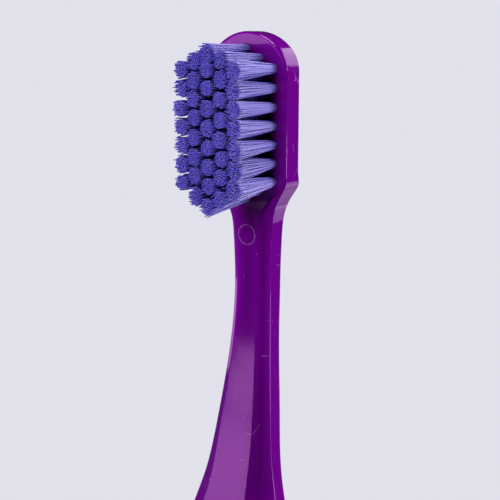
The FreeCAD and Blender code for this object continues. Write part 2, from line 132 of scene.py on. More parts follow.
# Round mark that the ejector pin leaves on the neck: its place, the heights of the
# patch that it is cut out of, and the radius and height of each of its rings
MARK_CENTRE = (0.12, 145.43)
MARK_PATCH = (143.2, 147.4)
MARK_RINGS = (
    (1.43, 0.0),
    (1.41, 0.0),
    (1.38, 0.02),
    (1.34, 0.03),
    (1.30, 0.02),
    (1.27, 0.0),
    (1.25, 0.0),
)
MARK_SIDES = 48

# Filaments: each is folded once round the anchor plate, so it has two ends. The
# shares are places round the fold, and from the cut end to the hole
FOLDED_PER_TUFT = 62
FILAMENT_RADIUS = 0.074
FILAMENT_SIDES = 6
ROOT_SPREAD = 0.61
TIP_SPREAD = 1.01
SPREAD_JITTER = 0.05
PLATE_HALF_GAP = 0.21
PLATE_BOTTOM_Y = 5.11
PLATE_TOP_Y = 3.61
FOLD_LEAST = 0.1
FOLD_DEPTH = 0.42
FOLD_SHARES = (0.2, 0.5, 0.8)
CUT_REACH = 0.06
FREE_SHARES = (0.0, CUT_REACH, 0.33, 0.67)
FIRST_SEED = 1000
COLUMN_SEEDS = 20

# Disorder of the filaments, and their strays on the border and inside the field
ROOT_DISORDER = 0.25
TRIM_ERROR = 0.1
TIP_JITTER = 0.052
LEAN_JITTER = 0.07
STRAY_SHARE = 0.35
STRAY_REACH = 0.36
INNER_REACH = 0.14

# Lean of all tips across the head, and lean and spread of some along it
SIDE_LEAN = 0.13
TIP_LEANS = {"b1": -0.25, "c1": -0.38, "b8": -0.22, "c9": -0.28, "d8": -0.28, "e7": -0.28}
TIP_STRETCH = {"e": 1.14, "b8": 1.2}

# Painted shade on the filaments in the depth of the field, darkening near the cut,
# painted shade on the rims of inner cut ends, and painted light on each column's cut ends
OPEN_DEPTH = 0.3
DARK_DEPTH = 1.7
DARKEST = 0.93
CUT_DARK = 0.35
RIM_PAINTED_SHADE = 0.6
RIM_POWER = 4
SHADE_SPREAD = 0.3
PAINTED_END_LIGHT = {"a": 0.98, "b": 0.93, "c": 0.96, "d": 0.99, "e": 1.12}

# Painted shadow on the face just below the tufts, on the side away from the light, and
# the depth down to which a vertex is on the face
UNDER_TUFTS_Z = (151.0, 152.4)
UNDER_TUFTS_X = (-1.8, 0.5)
UNDER_TUFTS_INSIDE = (-5.0, -0.6)
UNDER_TUFTS_PAINTED_SHADOW = 0.78
FACE_DEPTH = 2.62

# Vertices strewn over the front face round the mark and below the tufts
FACE_GRID_Z = (147.8, 152.0)
MARK_GRID_Z = (143.5, 147.2)
FACE_GRID_STEP = 0.3
FACE_GRID_CLEAR = 0.3
FLAT_TOLERANCE = 1e-7

# Painted light and shade along the neck's edges: height, left edge,
# right edge of the front, middle of the right bevel, edge of the right side
PAINTED_NECK_SHADES = (
    (95.0, 1.0, 1.0, 1.0, 1.0),
    (112.0, 1.0, 0.72, 0.57, 1.0),
    (122.0, 1.0, 0.80, 0.58, 1.2),
    (130.0, 1.15, 1.2, 0.82, 1.6),
    (134.0, 1.55, 1.4, 0.95, 1.7),
    (137.5, 1.95, 1.42, 1.0, 1.75),
    (141.0, 2.05, 1.35, 0.86, 1.5),
    (143.5, 2.0, 1.25, 0.85, 1.5),
    (146.5, 1.75, 1.1, 0.85, 1.3),
    (148.5, 1.5, 1.0, 0.9, 1.1),
    (150.5, 1.0, 1.0, 1.0, 1.0),
)

# Places across the front face that carry the painted light and shade, from a height upwards
FACE_SHARES = (0.0, 0.15, 0.45, 0.8, 1.0)
LEFT_FADE = 0.4
FINE_FACE_Z = 94.0

# Painted light along the head's edges round the tuft field
EDGE_LIGHT_Z = (150.8, 152.5)
EDGE_LIGHT_INSIDE = (-0.7, 0.3)
PAINTED_EDGE_LIGHT = 0.35

# Plastic: its gloss, its colours over its unevenness, and its roughness
PLASTIC_FINISH = {"IOR": 1.46, "Specular Tint": (1.0, 0.35, 1.0, 1.0)}
BODY_COLOURS = ((0.3, (0.112, 0.0002, 0.182)), (0.7, (0.125, 0.0003, 0.202)))
MARK_COLOURS = ((0.4, (0.13, 0.003, 0.21)), (0.6, (0.23, 0.045, 0.32)))
BODY_GRAIN = 60.0
MARK_GRAIN = 1500.0
GLOSS = (0.05, 0.12)
DULL = (0.35, 0.5)
HAZE_SCALE = 900.0
HAZE_DETAIL = 4.0
BUMP_SCALE = 350.0
BUMP_DETAIL = 3.0
BUMP = {"Strength": 0.08, "Distance": 0.0001}

# Dust on the plastic: hairs along the middle level of a noise, in few places, and specks
DUST_COLOUR = (0.30, 0.09, 0.40, 1.0)
HAIR_SCALE = 330.0
HAIR_LEVEL = 0.5
HAIR_WIDTH = 0.004
PLACES_SCALE = 210.0
PLACES_LEVEL = 0.63
SPECK_SCALE = 420.0
SPECK_RADIUS = 0.045

# Colours of the filaments' sides and cut ends over their share of painted light and shade
SIDE_COLOURS = (
    (0.0, (0.015, 0.008, 0.14)),
    (0.35, (0.082, 0.060, 0.46)),
    (0.70, (0.218, 0.176, 0.585)),
    (1.0, (0.282, 0.237, 0.645)),
)
END_COLOURS = (
    (0.15, (0.030, 0.020, 0.39)),
    (0.55, (0.080, 0.054, 0.56)),
    (0.65, (0.138, 0.104, 0.65)),
    (0.76, (0.188, 0.144, 0.71)),
)
SIDE_FINISH = {"Roughness": 0.38, "IOR": 1.5}
END_FINISH = {"Roughness": 0.6, "IOR": 1.5, "Specular IOR Level": 0.2}

# Drawn brass of the anchor plates
BRASS_COLOURS = ((0.3, (0.60, 0.44, 0.20)), (0.7, (0.78, 0.60, 0.30)))
BRASS_ROUGHNESS = (0.25, 0.5)
BRASS_SCALE = 4000.0
BRASS_DETAIL = 3.0

# Sockets of the mix node when it mixes colours
MIX_FACTOR = 0
MIX_FIRST = 6
MIX_SECOND = 7
MIX_RESULT = 2

# Camera: place, aim and lens
CAMERA_TARGET = Vector((0.669, 2.5, 143.402)) * MM
CAMERA_DISTANCE = 124.065 * MM
CAMERA_AZIMUTH = 35.862
CAMERA_ELEVATION = 12.651
CAMERA_ROLL = 0.035
CAMERA_SENSOR = 36.0
CAMERA_LENS = 66.6
CAMERA_CLIP = (0.001, 10.0)

# Floor: its colour and size, and where it fades into the background
FLOOR_COLOUR = (0.55, 0.548, 0.604)
FLOOR_RADIUS = 3000.0
FLOOR_SIDES = 64
FLOOR_NEAR = 60.0
FLOOR_FAR = 170.0

# Light
BACKGROUND = (0.76, 0.757, 0.835)
FILL_COLOUR = (0.95, 0.95, 1.0)
FILL_STRENGTH = 0.12
GLOSS_STRENGTH = 0.02

# Lamps: name, aim, azimuth, elevation, distance, width, height, radiance, roll,
# and the tint of those that aren't white
LAMPS = (
    ("key_front", (0.0, 2.5, 132.0), -27.0, 12.4, 420.0, 192.0, 265.0, 3.75, 15.2),
    ("top", (0.0, 2.5, 160.0), -5.0, 68.0, 400.0, 170.0, 160.0, 16.0, 0.0),
    ("left_low", (0.0, 2.5, 130.0), -82.0, 10.0, 400.0, 240.0, 240.0, 4.7, 0.0),
    ("right_back", (0.0, 2.5, 155.0), 126.0, 25.0, 450.0, 300.0, 330.0, 5.6, 0.0),
    ("patch_back", (0.0, 4.0, 166.0), 161.5, 22.5, 400.0, 225.0, 145.0, 3.1, 12.0),
    ("shoulder_mid", (4.5, 5.0, 149.0), 176.0, -31.0, 170.0, 70.0, 80.0, 0.65, 0.0),
    ("shoulder_low", (4.5, 5.0, 149.0), 155.0, -31.0, 170.0, 55.0, 58.0, 1.1, 0.0),
    ("edge_right", (4.0, 4.0, 145.0), 119.0, -9.0, 300.0, 140.0, 64.0, 9.5, 0.0),
    ("neck_left", (-2.2, 2.5, 132.0), -123.0, -15.2, 200.0, 30.0, 20.0, 0.6, 0.0),
)
LAMP_TINTS = {"neck_left": (1.0, 0.45, 1.0)}
WHITE = (1.0, 1.0, 1.0)


def column_x(column):
    """Place of a tuft column across the head."""
    names = list(TUFT_COUNTS)
    return (names.index(column) - (len(names) - 1) / 2) * TUFT_PITCH * math.sqrt(3) / 2


def tuft_z(column, row):
    """Place of a tuft along the head, row 0 at the tip."""
    return FIRST_TUFT_Z - ((MOST_TUFTS - TUFT_COUNTS[column]) / 2 + row) * TUFT_PITCH


def all_tufts():
    """Column and row of each tuft."""
    return [(column, row) for column, count in TUFT_COUNTS.items() for row in range(count)]


def inside_field(x, z):
    """How far a place lies inside the outline of the tuft field."""
    middle = FIRST_TUFT_Z - (MOST_TUFTS - 1) * TUFT_PITCH / 2
    aside, along = np.abs(x), np.abs(z - middle)
    end = (MOST_TUFTS * TUFT_PITCH / 2 - along) * math.cos(math.pi / 6) - aside / 2
    return np.minimum(column_x("e") + TUFT_PITCH / 2 - aside, end)


def painted_field_shade(depth):
    """Painted shade: share of light left at a depth in the tuft field."""
    buried = np.clip((depth - OPEN_DEPTH) / (DARK_DEPTH - OPEN_DEPTH), 0, 1)
    return 1 - DARKEST * buried * buried * (3 - 2 * buried)


def painted_face_light(x, y, z):
    """Painted light on the front face: a painted shadow below the tufts, painted light along the
    head's edges.
    """
    if y > FACE_DEPTH:
        return 1.0
    inside = inside_field(x, z)
    # Painted shadow below the tufts, on the side away from the light
    under = np.interp(z, UNDER_TUFTS_Z, (1, 0)) * np.interp(x, UNDER_TUFTS_X, (0, 1))
    dark = UNDER_TUFTS_PAINTED_SHADOW * under * np.interp(inside, UNDER_TUFTS_INSIDE, (0, 1))
    # Painted light along the head's edges round the tuft field
    edge = np.interp(inside, EDGE_LIGHT_INSIDE, (1, 0))
    return 1 - dark + PAINTED_EDGE_LIGHT * edge * np.interp(z, EDGE_LIGHT_Z, (0, 1))


def monotone(xs, ys, at):
    """Smooth curve through the points that doesn't overshoot them."""
    gaps = np.diff(xs)
    slopes = np.diff(ys) / gaps
    ends = np.zeros(len(xs))
    ends[0], ends[-1] = slopes[0], slopes[-1]
    for i in range(1, len(xs) - 1):
        before, after = slopes[i - 1], slopes[i]
        if before * after > 0:
            w1 = 2 * gaps[i] + gaps[i - 1]
            w2 = gaps[i] + 2 * gaps[i - 1]
            ends[i] = (w1 + w2) / (w1 / before + w2 / after)
    k = np.clip(np.searchsorted(xs, at, side="right") - 1, 0, len(xs) - 2)
    t = (at - xs[k]) / gaps[k]
    rise = ys[k] * (1 + 2 * t) * (1 - t) ** 2 + ys[k + 1] * t * t * (3 - 2 * t)
    lean = ends[k] * t * (1 - t) ** 2 - ends[k + 1] * t * t * (1 - t)
    return rise + gaps[k] * lean


def smoothed(values, width):
    """Evenly spaced values blurred over a width."""
    reach = int(3 * width / SECTION_STEP)
    offsets = np.arange(-reach, reach + 1) * SECTION_STEP
    kernel = np.exp(-0.5 * (offsets / width) ** 2)
    padded = np.pad(values, reach, mode="edge")
    return np.convolve(padded, kernel / kernel.sum(), mode="valid")


def section_curves():
    """Fine table of the handle's cross-section sizes along its height."""
    rows = np.array(SECTIONS[::-1])
    heights = np.arange(rows[0, 0], rows[-1, 0], SECTION_STEP)
    low, high = SOFT_BELOW
    share = np.clip((heights - low) / (high - low), 0, 1)
    curves = [heights]
    for column in range(1, rows.shape[1]):
        values = monotone(rows[:, 0], rows[:, column], heights)
        fine, soft = smoothed(values, FINE_SMOOTHING), smoothed(values, SOFT_SMOOTHING)
        curves.append(soft + share * (fine - soft))
    return curves


def section_at(curves, height):
    """Half width, front, thickness, front bevel and back bevel at a height."""
    return [float(np.interp(height, curves[0], values)) for values in curves[1:]]


def painted_neck_shades(z):
    """Factors of painted light and shade at the left, front, bevel and side edges at a height."""
    heights, *columns = zip(*PAINTED_NECK_SHADES)
    return [float(np.interp(z, heights, column)) for column in columns]


def painted_face_shade(curves, x, z):
    """Factor of painted light and shade on the front face."""
    half, _, _, bevel, _ = section_at(curves, z)
    share = (x / (half - bevel) + 1) / 2
    left, front, _, _ = painted_neck_shades(z)
    factors = (left, 1 + (left - 1) * LEFT_FADE, 1, 1, front)
    return float(np.interp(share, FACE_SHARES, factors))


def painted_edge_shades(place):
    """Factors of painted light and shade along the profile at one station."""
    x, z = place["origin"]
    left, front, middle, side = painted_neck_shades(z)
    if x < 0:
        front, middle, side = left, left, left
    arc = ARC_STEPS + 1
    return [front] * arc + [middle] + np.linspace(side, 1, arc).tolist() + [1.0] * (2 * arc)


def station(origin_x, origin_z, angle, sizes, edge_radius):
    """One place on the path round the handle: where it is, its outward way and its sizes."""
    front, thickness, front_bevel, back_bevel = sizes
    return {
        "origin": np.array((origin_x, origin_z)),
        "out": np.array((math.cos(angle), math.sin(angle))),
        "front": front,
        "thickness": thickness,
        "front_bevel": front_bevel,
        "back_bevel": back_bevel,
        "edge_radius": edge_radius,
    }


def butt_stations(curves):
    """Right-hand stations of the bevelled butt end, from the flat end upwards."""
    half, front, thickness, front_bevel, back_bevel = section_at(curves, BUTT_EDGE)
    shrink = 2 - math.sqrt(2)
    tangent = BUTT_ROUND * math.tan(math.pi / 8)
    path = [(0.0, BUTT_EDGE + BUTT_FLAT)]
    # Low corner between the flat end and the bevel, then high corner above the bevel
    for centre, start in (
        ((BUTT_ROUND, BUTT_EDGE + tangent), -math.pi / 2),
        ((BUTT_EDGE + tangent, BUTT_ROUND), -math.pi / 4),
    ):
        for step in range(ARC_STEPS + 1):
            turn = start + step / ARC_STEPS * math.pi / 4
            height = centre[0] + BUTT_ROUND * math.sin(turn)
            path.append((height, centre[1] - BUTT_ROUND * math.cos(turn)))
    found = []
    for height, inset in path:
        sizes = (
            front + inset,
            thickness - 2 * inset,
            front_bevel - shrink * inset,
            back_bevel - shrink * inset,
        )
        found.append(station(half - inset, height, 0.0, sizes, EDGE_RADIUS))
    return found


def side_stations(curves):
    """Right-hand stations from the butt to the head's rounded end."""
    found = []
    for low, high, step in RING_STEPS:
        for height in np.linspace(low, high, round((high - low) / step), endpoint=False):
            half, *sizes = section_at(curves, height)
            found.append(station(half, height, 0.0, sizes, EDGE_RADIUS))
    return found


def end_stations(curves):
    """Stations of the right half of the head's rounded end, up to its tip."""
    side_z = HEAD_TOP_Z - HEAD_END_HEIGHT
    across = HEAD_HALF_WIDTH - HEAD_CORNER_RADIUS
    up = HEAD_END_HEIGHT - HEAD_CORNER_RADIUS
    drop = (across ** 2 - up ** 2) / (2 * up)
    lean = math.atan2(drop, across)
    _, *sizes = section_at(curves, side_z)
    found = []
    count = round(90 / END_ANGLE_STEP)
    for step in range(count + 1):
        angle = math.radians(90 * step / count)
        if angle <= lean:
            centre, radius = (across, side_z), HEAD_CORNER_RADIUS
        else:
            centre, radius = (0.0, side_z - drop), HEAD_END_HEIGHT + drop
        share = min(1.0, angle / lean)
        ease = share * share * (3 - 2 * share)
        bevel = sizes[2] + ease * (END_ROUND_BEVEL - sizes[2])
        round_radius = EDGE_RADIUS + ease * (FULL_ROUND * bevel * ROUND_SHARE - EDGE_RADIUS)
        x = centre[0] + radius * math.cos(angle)
        z = centre[1] + radius * math.sin(angle)
        end_sizes = (sizes[0], sizes[1], bevel, sizes[3])
        found.append(station(x, z, angle, end_sizes, round_radius))
    return found


def mirrored(place):
    """The same station on the left side."""
    copy = dict(place)
    copy["origin"] = place["origin"] * (-1, 1)
    copy["out"] = place["out"] * (-1, 1)
    return copy


def profile(place):
    """Outward offsets, depths and normal angles of the profile from front to back."""
    front, back = place["front"], place["front"] + place["thickness"]
    front_bevel, back_bevel = place["front_bevel"], place["back_bevel"]
    front_radius = min(place["edge_radius"], FULL_ROUND * front_bevel * ROUND_SHARE)
    back_radius = min(BACK_RADIUS, FULL_ROUND * back_bevel * ROUND_SHARE)
    corners = (
        (-front_bevel, front, front_radius),
        (0.0, front + front_bevel, front_radius),
        (0.0, back - back_bevel, back_radius),
        (-back_bevel, back, back_radius),
    )
    arcs = []
    for number, (out, depth, radius) in enumerate(corners):
        start = math.radians(-90 + 45 * number)
        middle = start + math.pi / 8
        reach = radius / math.cos(math.pi / 8)
        centre_out = out - reach * math.cos(middle)
        centre_depth = depth - reach * math.sin(middle)
        arc = []
        for step in range(ARC_STEPS + 1):
            angle = start + step / ARC_STEPS * math.pi / 4
            point_out = centre_out + radius * math.cos(angle)
            point_depth = centre_depth + radius * math.sin(angle)
            arc.append((point_out, point_depth, angle))
        arcs.append(arc)
    bevel_middle = tuple((a + b) / 2 for a, b in zip(arcs[0][-1], arcs[1][0]))
    return np.array(arcs[0] + [bevel_middle] + arcs[1] + arcs[2] + arcs[3])


class Shell:
    """Vertices with their own normals, and faces, collected for one mesh."""

    def __init__(self):
        self.points, self.normals, self.shades = [], [], []
        self.faces, self.rough = [], []

    def add(self, point, normal, shade=1.0):
        """Add one vertex and return its number."""
        self.points.append(tuple(point))
        self.shades.append(shade)
        size = math.sqrt(sum(value * value for value in normal))
        self.normals.append(tuple(value / size for value in normal))
        return len(self.points) - 1

    def strip(self, first, second):
        """Quads between two chains of vertices of one length."""
        for i in range(len(first) - 1):
            self.faces.append((first[i], second[i], second[i + 1], first[i + 1]))

    def mesh(self, name):
        """The mesh, in metres, smooth with the collected normals."""
        mesh = bpy.data.meshes.new(name)
        mesh.from_pydata((np.array(self.points) * MM).tolist(), [], self.faces)
        mesh.polygons.foreach_set("use_smooth", [True] * len(mesh.polygons))
        for number in self.rough:
            mesh.polygons[number].material_index = 1
        mesh.normals_split_custom_set_from_vertices(self.normals)
        # Painted light and shade, kept in the 'light' attribute that scales the base colour
        light = []
        for (x, y, z), shade in zip(self.points, self.shades):
            light.append(painted_field_shade(inside_field(x, z)) * painted_face_light(x, y, z) * shade)
        mesh.attributes.new("light", "FLOAT", "POINT").data.foreach_set("value", light)
        return mesh


def path_grid(shell, places):
    """Grid of vertices over the stations and their profiles, with quads between them."""
    profiles = [profile(place) for place in places]
    spots = []
    for place, points in zip(places, profiles):
        flat = place["origin"] + points[:, :1] * place["out"]
        spots.append(np.column_stack((flat[:, 0], points[:, 1], flat[:, 1])))
    spots = np.array(spots)
    along = np.gradient(spots, axis=0)
    grid = []
    for place, points, row, slopes in zip(places, profiles, spots, along):
        out = np.array((place["out"][0], 0.0, place["out"][1]))
        numbers = []
        shades = painted_edge_shades(place)
        for (_, _, angle), spot, slope, shade in zip(points, row, slopes, shades):
            across = -math.sin(angle) * out + math.cos(angle) * np.array((0.0, 1.0, 0.0))
            numbers.append(shell.add(spot, np.cross(across, slope), shade))
        grid.append(numbers)
    for low, high in zip(grid, grid[1:]):
        for j in range(len(low) - 1):
            shell.faces.append((low[j], low[j + 1], high[j + 1], high[j]))
    return grid


def fill_flat(shell, outer, loops, holes, free=()):
    """Triangles over the area inside the outer chain, apart from round holes."""
    numbers = outer + [number for loop in loops for number in loop] + list(free)
    flat = [Vector((shell.points[n][0], shell.points[n][2])) for n in numbers]
    edges = []
    start = 0
    for chain in [outer] + loops:
        size = len(chain)
        edges += [(start + i, start + (i + 1) % size) for i in range(size)]
        start += size
    spots, _, triangles, origins, *_ = delaunay_2d_cdt(flat, edges, [], 1, FLAT_TOLERANCE)
    for triangle in triangles:
        centre = sum((spots[i] for i in triangle), Vector((0, 0))) / len(triangle)
        if any((centre - Vector(middle)).length < radius for middle, radius in holes):
            continue
        corners = [numbers[origins[i][0]] for i in triangle]
        a, b, c = (spots[i] for i in triangle)
        turns_left = (b - a).cross(c - a) > 0
        shell.faces.append(tuple(corners if turns_left else corners[::-1]))


def circle_chain(shell, centre, radius, depth, sides, normal_of, shade_of=lambda x, z: 1.0):
    """Ring of vertices round a centre in the front plane."""
    chain = []
    for i in range(sides):
        angle = 2 * math.pi * i / sides
        way = (math.cos(angle), math.sin(angle))
        x, z = centre[0] + radius * way[0], centre[1] + radius * way[1]
        y = depth(z) if callable(depth) else depth
        chain.append(shell.add((x, y, z), normal_of(way), shade_of(x, z)))
    return chain


def add_hole(shell, centre):
    """One blind tuft hole with a slightly rounded rim. Returns its outer ring."""

    def ring(radius, depth, normal_of):
        return circle_chain(shell, centre, radius, depth, HOLE_SIDES, normal_of)

    outer_radius = HOLE_RADIUS + HOLE_RIM
    rings = [ring(outer_radius, HEAD_Y, lambda way: (0, -1, 0))]
    for step in range(1, HOLE_RIM_STEPS + 1):
        turn = step / HOLE_RIM_STEPS * math.pi / 2
        side, face = math.sin(turn), math.cos(turn)
        rings.append(
            ring(
                outer_radius - HOLE_RIM * side,
                HEAD_Y + HOLE_RIM * (1 - face),
                lambda way, side=side, face=face: (-way[0] * side, -face, -way[1] * side),
            )
        )
    rings.append(ring(HOLE_RADIUS, HOLE_BOTTOM_Y, lambda way: (-way[0], 0, -way[1])))
    for outer, inner in zip(rings, rings[1:]):
        shell.strip(inner + inner[:1], outer + outer[:1])
    bottom = ring(HOLE_RADIUS, HOLE_BOTTOM_Y, lambda way: (0, -1, 0))
    shell.faces.append(tuple(bottom))
    return rings[0]


def add_mark(shell, curves):
    """Raised ring of the ejector mark. Returns its outer ring."""

    def front(z):
        return float(np.interp(z, curves[0], curves[2]))

    heights = [height for _, height in MARK_RINGS]
    radii = [radius for radius, _ in MARK_RINGS]
    slopes = np.gradient(heights, radii)
    rings = []
    for (radius, height), slope in zip(MARK_RINGS, slopes):
        rings.append(
            circle_chain(
                shell,
                MARK_CENTRE,
                radius,
                lambda z, height=height: front(z) - height,
                MARK_SIDES,
                lambda way, slope=slope: (-slope * way[0], -1, -slope * way[1]),
                lambda x, z: painted_face_shade(curves, x, z),
            )
        )
    start = len(shell.faces)
    for outer, inner in zip(rings, rings[1:]):
        shell.strip(inner + inner[:1], outer + outer[:1])
    shell.rough += range(start, len(shell.faces))
    shell.faces.append(tuple(rings[-1]))
    return rings[0]


def face_grid(shell, curves, heights, guards):
    """Free vertices on the front face, clear of its edges and of round places."""
    found = []
    for z in np.arange(*heights, FACE_GRID_STEP):
        half, front, _, bevel, _ = section_at(curves, z)
        reach = half - bevel - FACE_GRID_CLEAR
        for x in np.arange(-reach, reach, FACE_GRID_STEP):
            clear = [
                math.hypot(x - centre[0], z - centre[1]) > radius + FACE_GRID_CLEAR / 2
                for centre, radius in guards
            ]
            if all(clear):
                found.append(shell.add((x, front, z), (0, -1, 0), painted_face_shade(curves, x, z)))
    return found


def face_chain(shell, curves, left, right):
    """Vertices across the front face at one height, from left to right."""
    start, end = np.array(shell.points[left]), np.array(shell.points[right])
    _, out, up = shell.normals[right]
    chain = [left]
    for share in FACE_SHARES[1:-1]:
        place = start + share * (end - start)
        shade = painted_face_shade(curves, place[0], place[2])
        chain.append(shell.add(place, (0, out, up), shade))
    return chain + [right]


def first_above(heights, limit):
    """Number of the first height above a limit."""
    return next(i for i, z in enumerate(heights) if z > limit)


def front_chains(shell, curves, grid, heights):
    """Chains of vertices across the front face, from the butt up to the head."""
    last = len(grid) - 1
    fine_low = first_above(heights, FINE_FACE_Z)
    chains = []
    for i in range(first_above(heights, LAST_CLEAR_Z) + 1):
        left_edge, right_edge = grid[last - i][0], grid[i][0]
        if i < fine_low:
            chains.append([left_edge, right_edge])
        else:
            chains.append(face_chain(shell, curves, left_edge, right_edge))
    return chains


def add_back(shell, grid):
    """Faces across the flat back, up to the triangle at the tip."""
    last = len(grid) - 1
    tip = last // 2
    for i in range(tip):
        back = (grid[i][-1], grid[last - i][-1], grid[last - i - 1][-1], grid[i + 1][-1])
        shell.faces.append(back if i + 1 < tip else back[:3])


def add_front(shell, chains, mark_rows):
    """Faces across the front below the head, apart from the patch round the mark."""
    for i, (low, high) in enumerate(zip(chains, chains[1:])):
        if i in mark_rows:
            continue
        if len(low) == len(high):
            for k in range(len(low) - 1):
                shell.faces.append((low[k], low[k + 1], high[k + 1], high[k]))
        else:
            shell.faces.append(tuple(low + high[::-1]))


def fill_mark(shell, curves, grid, chains, rows):
    """Front face round the ejector mark."""
    low, high, last = rows.start, rows.stop, len(grid) - 1
    edge = [grid[i][0] for i in range(low, high)]
    edge += chains[high][::-1]
    edge += [grid[last - i][0] for i in range(high - 1, low, -1)]
    edge += chains[low][:-1]
    ring = add_mark(shell, curves)
    guards = [(MARK_CENTRE, MARK_RINGS[0][0])]
    fill_flat(shell, edge, [ring], guards, face_grid(shell, curves, MARK_GRID_Z, guards))


def fill_head(shell, curves, grid, chains):
    """Front face of the head round the tuft holes."""
    low = len(chains) - 1
    edge = [grid[i][0] for i in range(low, len(grid) - 1 - low)]
    edge += chains[low][:-1]
    centres = [(column_x(column), tuft_z(column, row)) for column, row in all_tufts()]
    rims = [add_hole(shell, centre) for centre in centres]
    holes = [(centre, HOLE_RADIUS + HOLE_RIM) for centre in centres]
    fill_flat(shell, edge, rims, holes, face_grid(shell, curves, FACE_GRID_Z, holes))


def close_butt(shell, curves, grid):
    """Fan of faces over the flat butt end."""
    rim = grid[0] + grid[-1][::-1]
    _, front, thickness, _, _ = section_at(curves, BUTT_EDGE)
    centre = shell.add((0.0, front + thickness / 2, 0.0), (0, 0, -1))
    for i in range(len(rim)):
        shell.faces.append((centre, rim[(i + 1) % len(rim)], rim[i]))


def make_handle():
    """The moulded handle with its head, tuft holes and rounded edges."""
    curves = section_curves()
    right = butt_stations(curves) + side_stations(curves) + end_stations(curves)
    left = [mirrored(place) for place in right[-2::-1]]
    heights = [place["origin"][1] for place in right]
    mark_rows = range(first_above(heights, MARK_PATCH[0]), first_above(heights, MARK_PATCH[1]))
    shell = Shell()
    grid = path_grid(shell, right + left)
    chains = front_chains(shell, curves, grid, heights)
    add_back(shell, grid)
    add_front(shell, chains, mark_rows)
    fill_mark(shell, curves, grid, chains, mark_rows)
    fill_head(shell, curves, grid, chains)
    close_butt(shell, curves, grid)
    return add_object("handle_shell", shell.mesh("handle_shell"), ["handle"])


def add_object(name, mesh, nodes):
    """Put a mesh in the scene on the root body, and hide the CAD nodes it takes the place of."""
    piece = bpy.data.objects.new(name, mesh)
    bpy.context.scene.collection.objects.link(piece)
    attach(piece, "root")
    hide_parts(*nodes)
    return piece


def disc_points(count, rng):
    """Evenly strewn points in a disc of radius 1, with a little disorder."""
    number = np.arange(count) + 0.5
    radius = np.sqrt(number / count)
    angle = number * math.pi * (3 - math.sqrt(5)) + rng.uniform(0, 2 * math.pi)
    points = np.column_stack((radius * np.cos(angle), radius * np.sin(angle)))
    return points + rng.normal(0, ROOT_DISORDER / math.sqrt(count), points.shape)


def end_paths(points, side, spread, lean, stray_reach, rng):
    """Centre lines on one side of the anchor, from the cut ends to its lower edge."""
    count = len(points)
    tips = points * spread + lean + rng.normal(0, TIP_JITTER, (count, 2))
    stray = rng.random((count, 1)) < STRAY_SHARE
    tips *= 1 + stray * rng.uniform(0, stray_reach, (count, 1))
    roots = points * ROOT_SPREAD
    beside = roots.copy()
    room = (ROOT_SPREAD - PLATE_HALF_GAP) / ROOT_SPREAD
    beside[:, 1] = side * PLATE_HALF_GAP + roots[:, 1] * room
    ends = TIP_Y + rng.uniform(0, TRIM_ERROR, count)
    sway = rng.normal(0, TIP_JITTER, (count, 2))
    levels = []
    for share in FREE_SHARES:
        place = tips + (roots - tips) * share + sway * math.sin(math.pi * share)
        depth = ends + (HEAD_Y - ends) * share
        levels.append(np.column_stack((place[:, 0], depth, place[:, 1])))
    for place, depth in ((roots, HEAD_Y), (beside, PLATE_TOP_Y), (beside, PLATE_BOTTOM_Y)):
        levels.append(np.column_stack((place[:, 0], np.full(count, depth), place[:, 1])))
    return np.stack(levels, axis=1)


def filament_paths(rng, stray_reach):
    """Centre lines of one tuft's folded filaments, about the tuft's own axis."""
    points = disc_points(2 * FOLDED_PER_TUFT, rng)
    order = points[np.argsort(points[:, 1])]
    lean = rng.normal(0, LEAN_JITTER, 2)
    spread = TIP_SPREAD + rng.normal(0, SPREAD_JITTER)
    halves = []
    for half, side in ((order[FOLDED_PER_TUFT:], 1), (order[:FOLDED_PER_TUFT], -1)):
        across = half[np.argsort(half[:, 0])]
        halves.append(end_paths(across, side, spread, lean, stray_reach, rng))
    upper, lower = halves
    start, end = upper[:, -1], lower[:, -1]
    bend = []
    for share in FOLD_SHARES:
        place = start + (end - start) * (1 - math.cos(math.pi * share)) / 2
        reach = FOLD_LEAST + (np.abs(start[:, 2]) - PLATE_HALF_GAP) / ROOT_SPREAD * FOLD_DEPTH
        place[:, 1] = PLATE_BOTTOM_Y + reach * math.sin(math.pi * share)
        bend.append(place)
    return np.concatenate([upper, np.stack(bend, axis=1), lower[:, ::-1]], axis=1)


def painted_light_shares(paths, painted_end_light, rng):
    """Painted light and shade on each point of the filaments in the tuft field."""
    inside = inside_field(paths[..., 0], paths[..., 2])
    # Painted shade deep in the tuft field, and darker at the cut
    light = painted_field_shade(np.minimum(inside, paths[..., 1] - TIP_Y))
    light[:, (0, -1)] *= 1 - CUT_DARK
    # Painted shade on the rims of the inner tufts' cut ends, and painted light on each column's
    # cut ends
    for end in (0, -1):
        offset = paths[:, end] - paths[:, end].mean(axis=0)
        rim = np.minimum(np.hypot(offset[:, 0], offset[:, 2]) / TIP_SPREAD, 1) ** RIM_POWER
        hidden = np.clip(inside[:, end] / OPEN_DEPTH - 1, 0, 1)
        light[:, end] *= 1 - RIM_PAINTED_SHADE * rim * hidden
        light[:, end] *= painted_end_light
    return light * (1 - SHADE_SPREAD * rng.random((len(paths), 1)))


